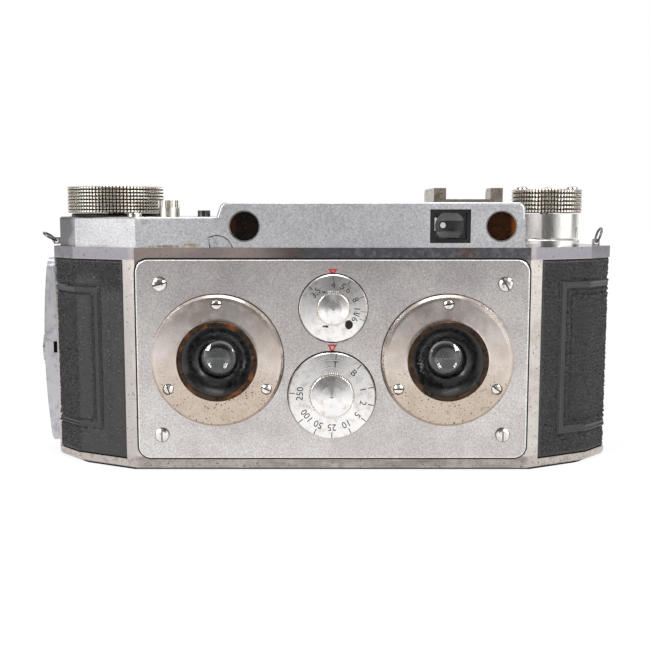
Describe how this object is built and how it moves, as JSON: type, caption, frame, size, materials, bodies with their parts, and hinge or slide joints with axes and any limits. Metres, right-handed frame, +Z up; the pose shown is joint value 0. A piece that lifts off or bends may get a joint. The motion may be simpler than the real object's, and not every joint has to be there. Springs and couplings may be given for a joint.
{
  "type": "stereo camera",
  "caption": "Two-lens stereo camera for 35 mm film, with a knurled winding knob, coupled rangefinder, front dials, side focusing wheel and a hinged back.",
  "frame": {"origin": "mouth of the tripod bush in the base", "axes": "+X to the viewer's right as seen from the front, along the longest side; +Y from the lenses to the back; +Z up"},
  "size_m": [0.1712, 0.0511, 0.0813],
  "materials": {
    "bright_metal": "polished, worn and slightly tarnished",
    "satin_chrome": "fine blasted satin chrome",
    "chrome": "bright chrome on brass",
    "nickel": "pitted polished nickel",
    "steel": "plain steel",
    "brass": "worn lacquered brass",
    "black_metal": "matt black lacquer",
    "leather": "pebbled black leather with embossed frames",
    "lens_glass": "polished optical glass",
    "dark_glass": "dark finder window",
    "amber_glass": "amber finder window"
  },
  "bodies": {
    "camera_body": {"body_shell": "bright_metal", "base_plate": "bright_metal", "leather_left": "leather", "leather_right": "leather", "tripod_bush": "steel", "front_plate": "satin_chrome", "front_plate_screws": "steel", "lens_ring_left": "nickel", "lens_ring_right": "nickel", "lens_ring_screws": "steel", "mechanism_plate": "brass", "shutter_frame": "black_metal", "rear_cells": "black_metal", "rear_elements": "lens_glass", "rangefinder_base": "brass", "top_housing": "satin_chrome", "housing_screws": "steel", "strap_lugs": "steel", "window_left": "dark_glass", "window_right": "amber_glass", "viewfinder_frame": "black_metal", "finder_glasses": "lens_glass", "eyepieces": "black_metal", "accessory_shoe": "chrome", "winding_base_ring": "bright_metal", "rewind_base_ring": "chrome", "side_cover": "satin_chrome", "film_gate": "black_metal", "light_boxes": "black_metal", "back_hinge_pin": "steel"},
    "winding": {"winding_knob": "chrome", "winding_shaft": "steel", "take_up_spool": "black_metal"},
    "sprocket": {"sprocket_shaft": "steel"},
    "rewind_collar": {"rewind_collar": "chrome"},
    "rewind_knob": {"rewind_knob": "chrome"},
    "shutter_release": {"shutter_release": "chrome"},
    "rewind_button": {"rewind_button": "chrome"},
    "selector_lever": {"selector_lever": "chrome"},
    "aperture_dial": {"aperture_dial": "chrome", "aperture_arbor": "brass"},
    "aperture_slide_front": {"aperture_slide_front": "black_metal"},
    "aperture_slide_rear": {"aperture_slide_rear": "black_metal"},
    "speed_dial": {"speed_dial": "chrome", "speed_arbor": "brass"},
    "opening_blade": {"opening_blade": "black_metal"},
    "closing_blade": {"closing_blade": "black_metal"},
    "focus_wheel": {"focus_wheel": "chrome", "distance_drum": "brass"},
    "rocker": {"rocker_shaft": "steel"},
    "lens_carrier": {"focus_carrier": "brass", "front_cells": "brass", "front_elements": "lens_glass"},
    "rangefinder_arm": {"rangefinder_arm": "brass"},
    "strap_ring_left": {"strap_ring_left": "steel"},
    "strap_ring_right": {"strap_ring_right": "steel"},
    "back": {"back_cover": "bright_metal", "back_leather": "leather", "pressure_plate": "black_metal"},
    "latch": {"back_latch": "chrome"}
  },
  "joints": [
    {"name": "winding_turn", "type": "hinge", "parent": "camera_body", "child": "winding", "pos_m": [-0.0645, -0.002, 0.077], "axis": [0, 0, 1], "continuous": true},
    {"name": "sprocket_turn", "type": "hinge", "parent": "camera_body", "child": "sprocket", "pos_m": [-0.05828, 0.01198, 0.032], "axis": [0, 0, 1], "continuous": true},
    {"name": "rewind_lift", "type": "slide", "parent": "camera_body", "child": "rewind_collar", "axis": [0, 0, 1], "range_m": [0, 0.008]},
    {"name": "rewind_turn", "type": "hinge", "parent": "rewind_collar", "child": "rewind_knob", "pos_m": [0.06505, 0.002, 0.077], "axis": [0, 0, 1], "continuous": true},
    {"name": "release_press", "type": "slide", "parent": "camera_body", "child": "shutter_release", "axis": [0, 0, -1], "range_m": [0, 0.0022], "stiffness_N_per_m": 600, "springref_m": -0.001},
    {"name": "rewind_button_press", "type": "slide", "parent": "camera_body", "child": "rewind_button", "axis": [0, 0, -1], "range_m": [0, 0.0015], "stiffness_N_per_m": 500, "springref_m": -0.001},
    {"name": "selector_swing", "type": "hinge", "parent": "camera_body", "child": "selector_lever", "pos_m": [-0.0325, -0.021, 0.0626], "axis": [0, 1, 0], "range_deg": [0, 50]},
    {"name": "aperture_turn", "type": "hinge", "parent": "camera_body", "child": "aperture_dial", "pos_m": [0.00023, -0.022, 0.0468], "axis": [0, 1, 0], "range_deg": [-111.5, 48]},
    {"name": "aperture_front_slide", "type": "slide", "parent": "camera_body", "child": "aperture_slide_front", "axis": [1, 0, 0], "range_m": [-0.00205, 0.0047]},
    {"name": "aperture_rear_slide", "type": "slide", "parent": "camera_body", "child": "aperture_slide_rear", "axis": [1, 0, 0], "range_m": [-0.0047, 0.00205]},
    {"name": "speed_turn", "type": "hinge", "parent": "camera_body", "child": "speed_dial", "pos_m": [-0.00019, -0.022, 0.022], "axis": [0, 1, 0], "range_deg": [-274, 0]},
    {"name": "opening_blade_drop", "type": "slide", "parent": "camera_body", "child": "opening_blade", "axis": [0, 0, -1], "range_m": [0, 0.013]},
    {"name": "closing_blade_drop", "type": "slide", "parent": "camera_body", "child": "closing_blade", "axis": [0, 0, -1], "range_m": [0, 0.013]},
    {"name": "focus_turn", "type": "hinge", "parent": "camera_body", "child": "focus_wheel", "pos_m": [-0.086, 0.0053, 0.032], "axis": [-1, 0, 0], "range_deg": [0, 229]},
    {"name": "rocker_swing", "type": "hinge", "parent": "camera_body", "child": "rocker", "pos_m": [0, 0.0104, 0.008], "axis": [1, 0, 0], "range_deg": [0, 6]},
    {"name": "carrier_slide", "type": "slide", "parent": "camera_body", "child": "lens_carrier", "axis": [0, -1, 0], "range_m": [0, 0.002]},
    {"name": "rangefinder_swing", "type": "hinge", "parent": "camera_body", "child": "rangefinder_arm", "pos_m": [-0.0247, -0.0162, 0.065], "axis": [0, 0, 1], "range_deg": [-2.7, 0]},
    {"name": "strap_ring_left_swing", "type": "hinge", "parent": "camera_body", "child": "strap_ring_left", "pos_m": [-0.0841, 0.003, 0.065], "axis": [0, 1, 0], "range_deg": [-30, 70]},
    {"name": "strap_ring_right_swing", "type": "hinge", "parent": "camera_body", "child": "strap_ring_right", "pos_m": [0.0807, 0.003, 0.0645], "axis": [0, 1, 0], "range_deg": [-20, 50]},
    {"name": "back_opening", "type": "hinge", "parent": "camera_body", "child": "back", "pos_m": [0.0746, 0.0186, 0.032], "axis": [0, 0, -1], "range_deg": [0, 110]},
    {"name": "latch_slide", "type": "slide", "parent": "back", "child": "latch", "axis": [0, 0, 1], "range_m": [0, 0.0022]}
  ],
  "couplings": [
    {"joint": "sprocket_turn", "follows": "winding_turn", "ratio": -1.4286},
    {"joint": "aperture_front_slide", "follows": "aperture_turn", "m_per_rad": -0.0024},
    {"joint": "aperture_rear_slide", "follows": "aperture_turn", "m_per_rad": 0.0024},
    {"joint": "focus_turn", "follows": "carrier_slide", "rad_per_m": 2000},
    {"joint": "rocker_swing", "follows": "carrier_slide", "rad_per_m": 52.083},
    {"joint": "rangefinder_swing", "follows": "carrier_slide", "rad_per_m": -22.883}
  ]
}
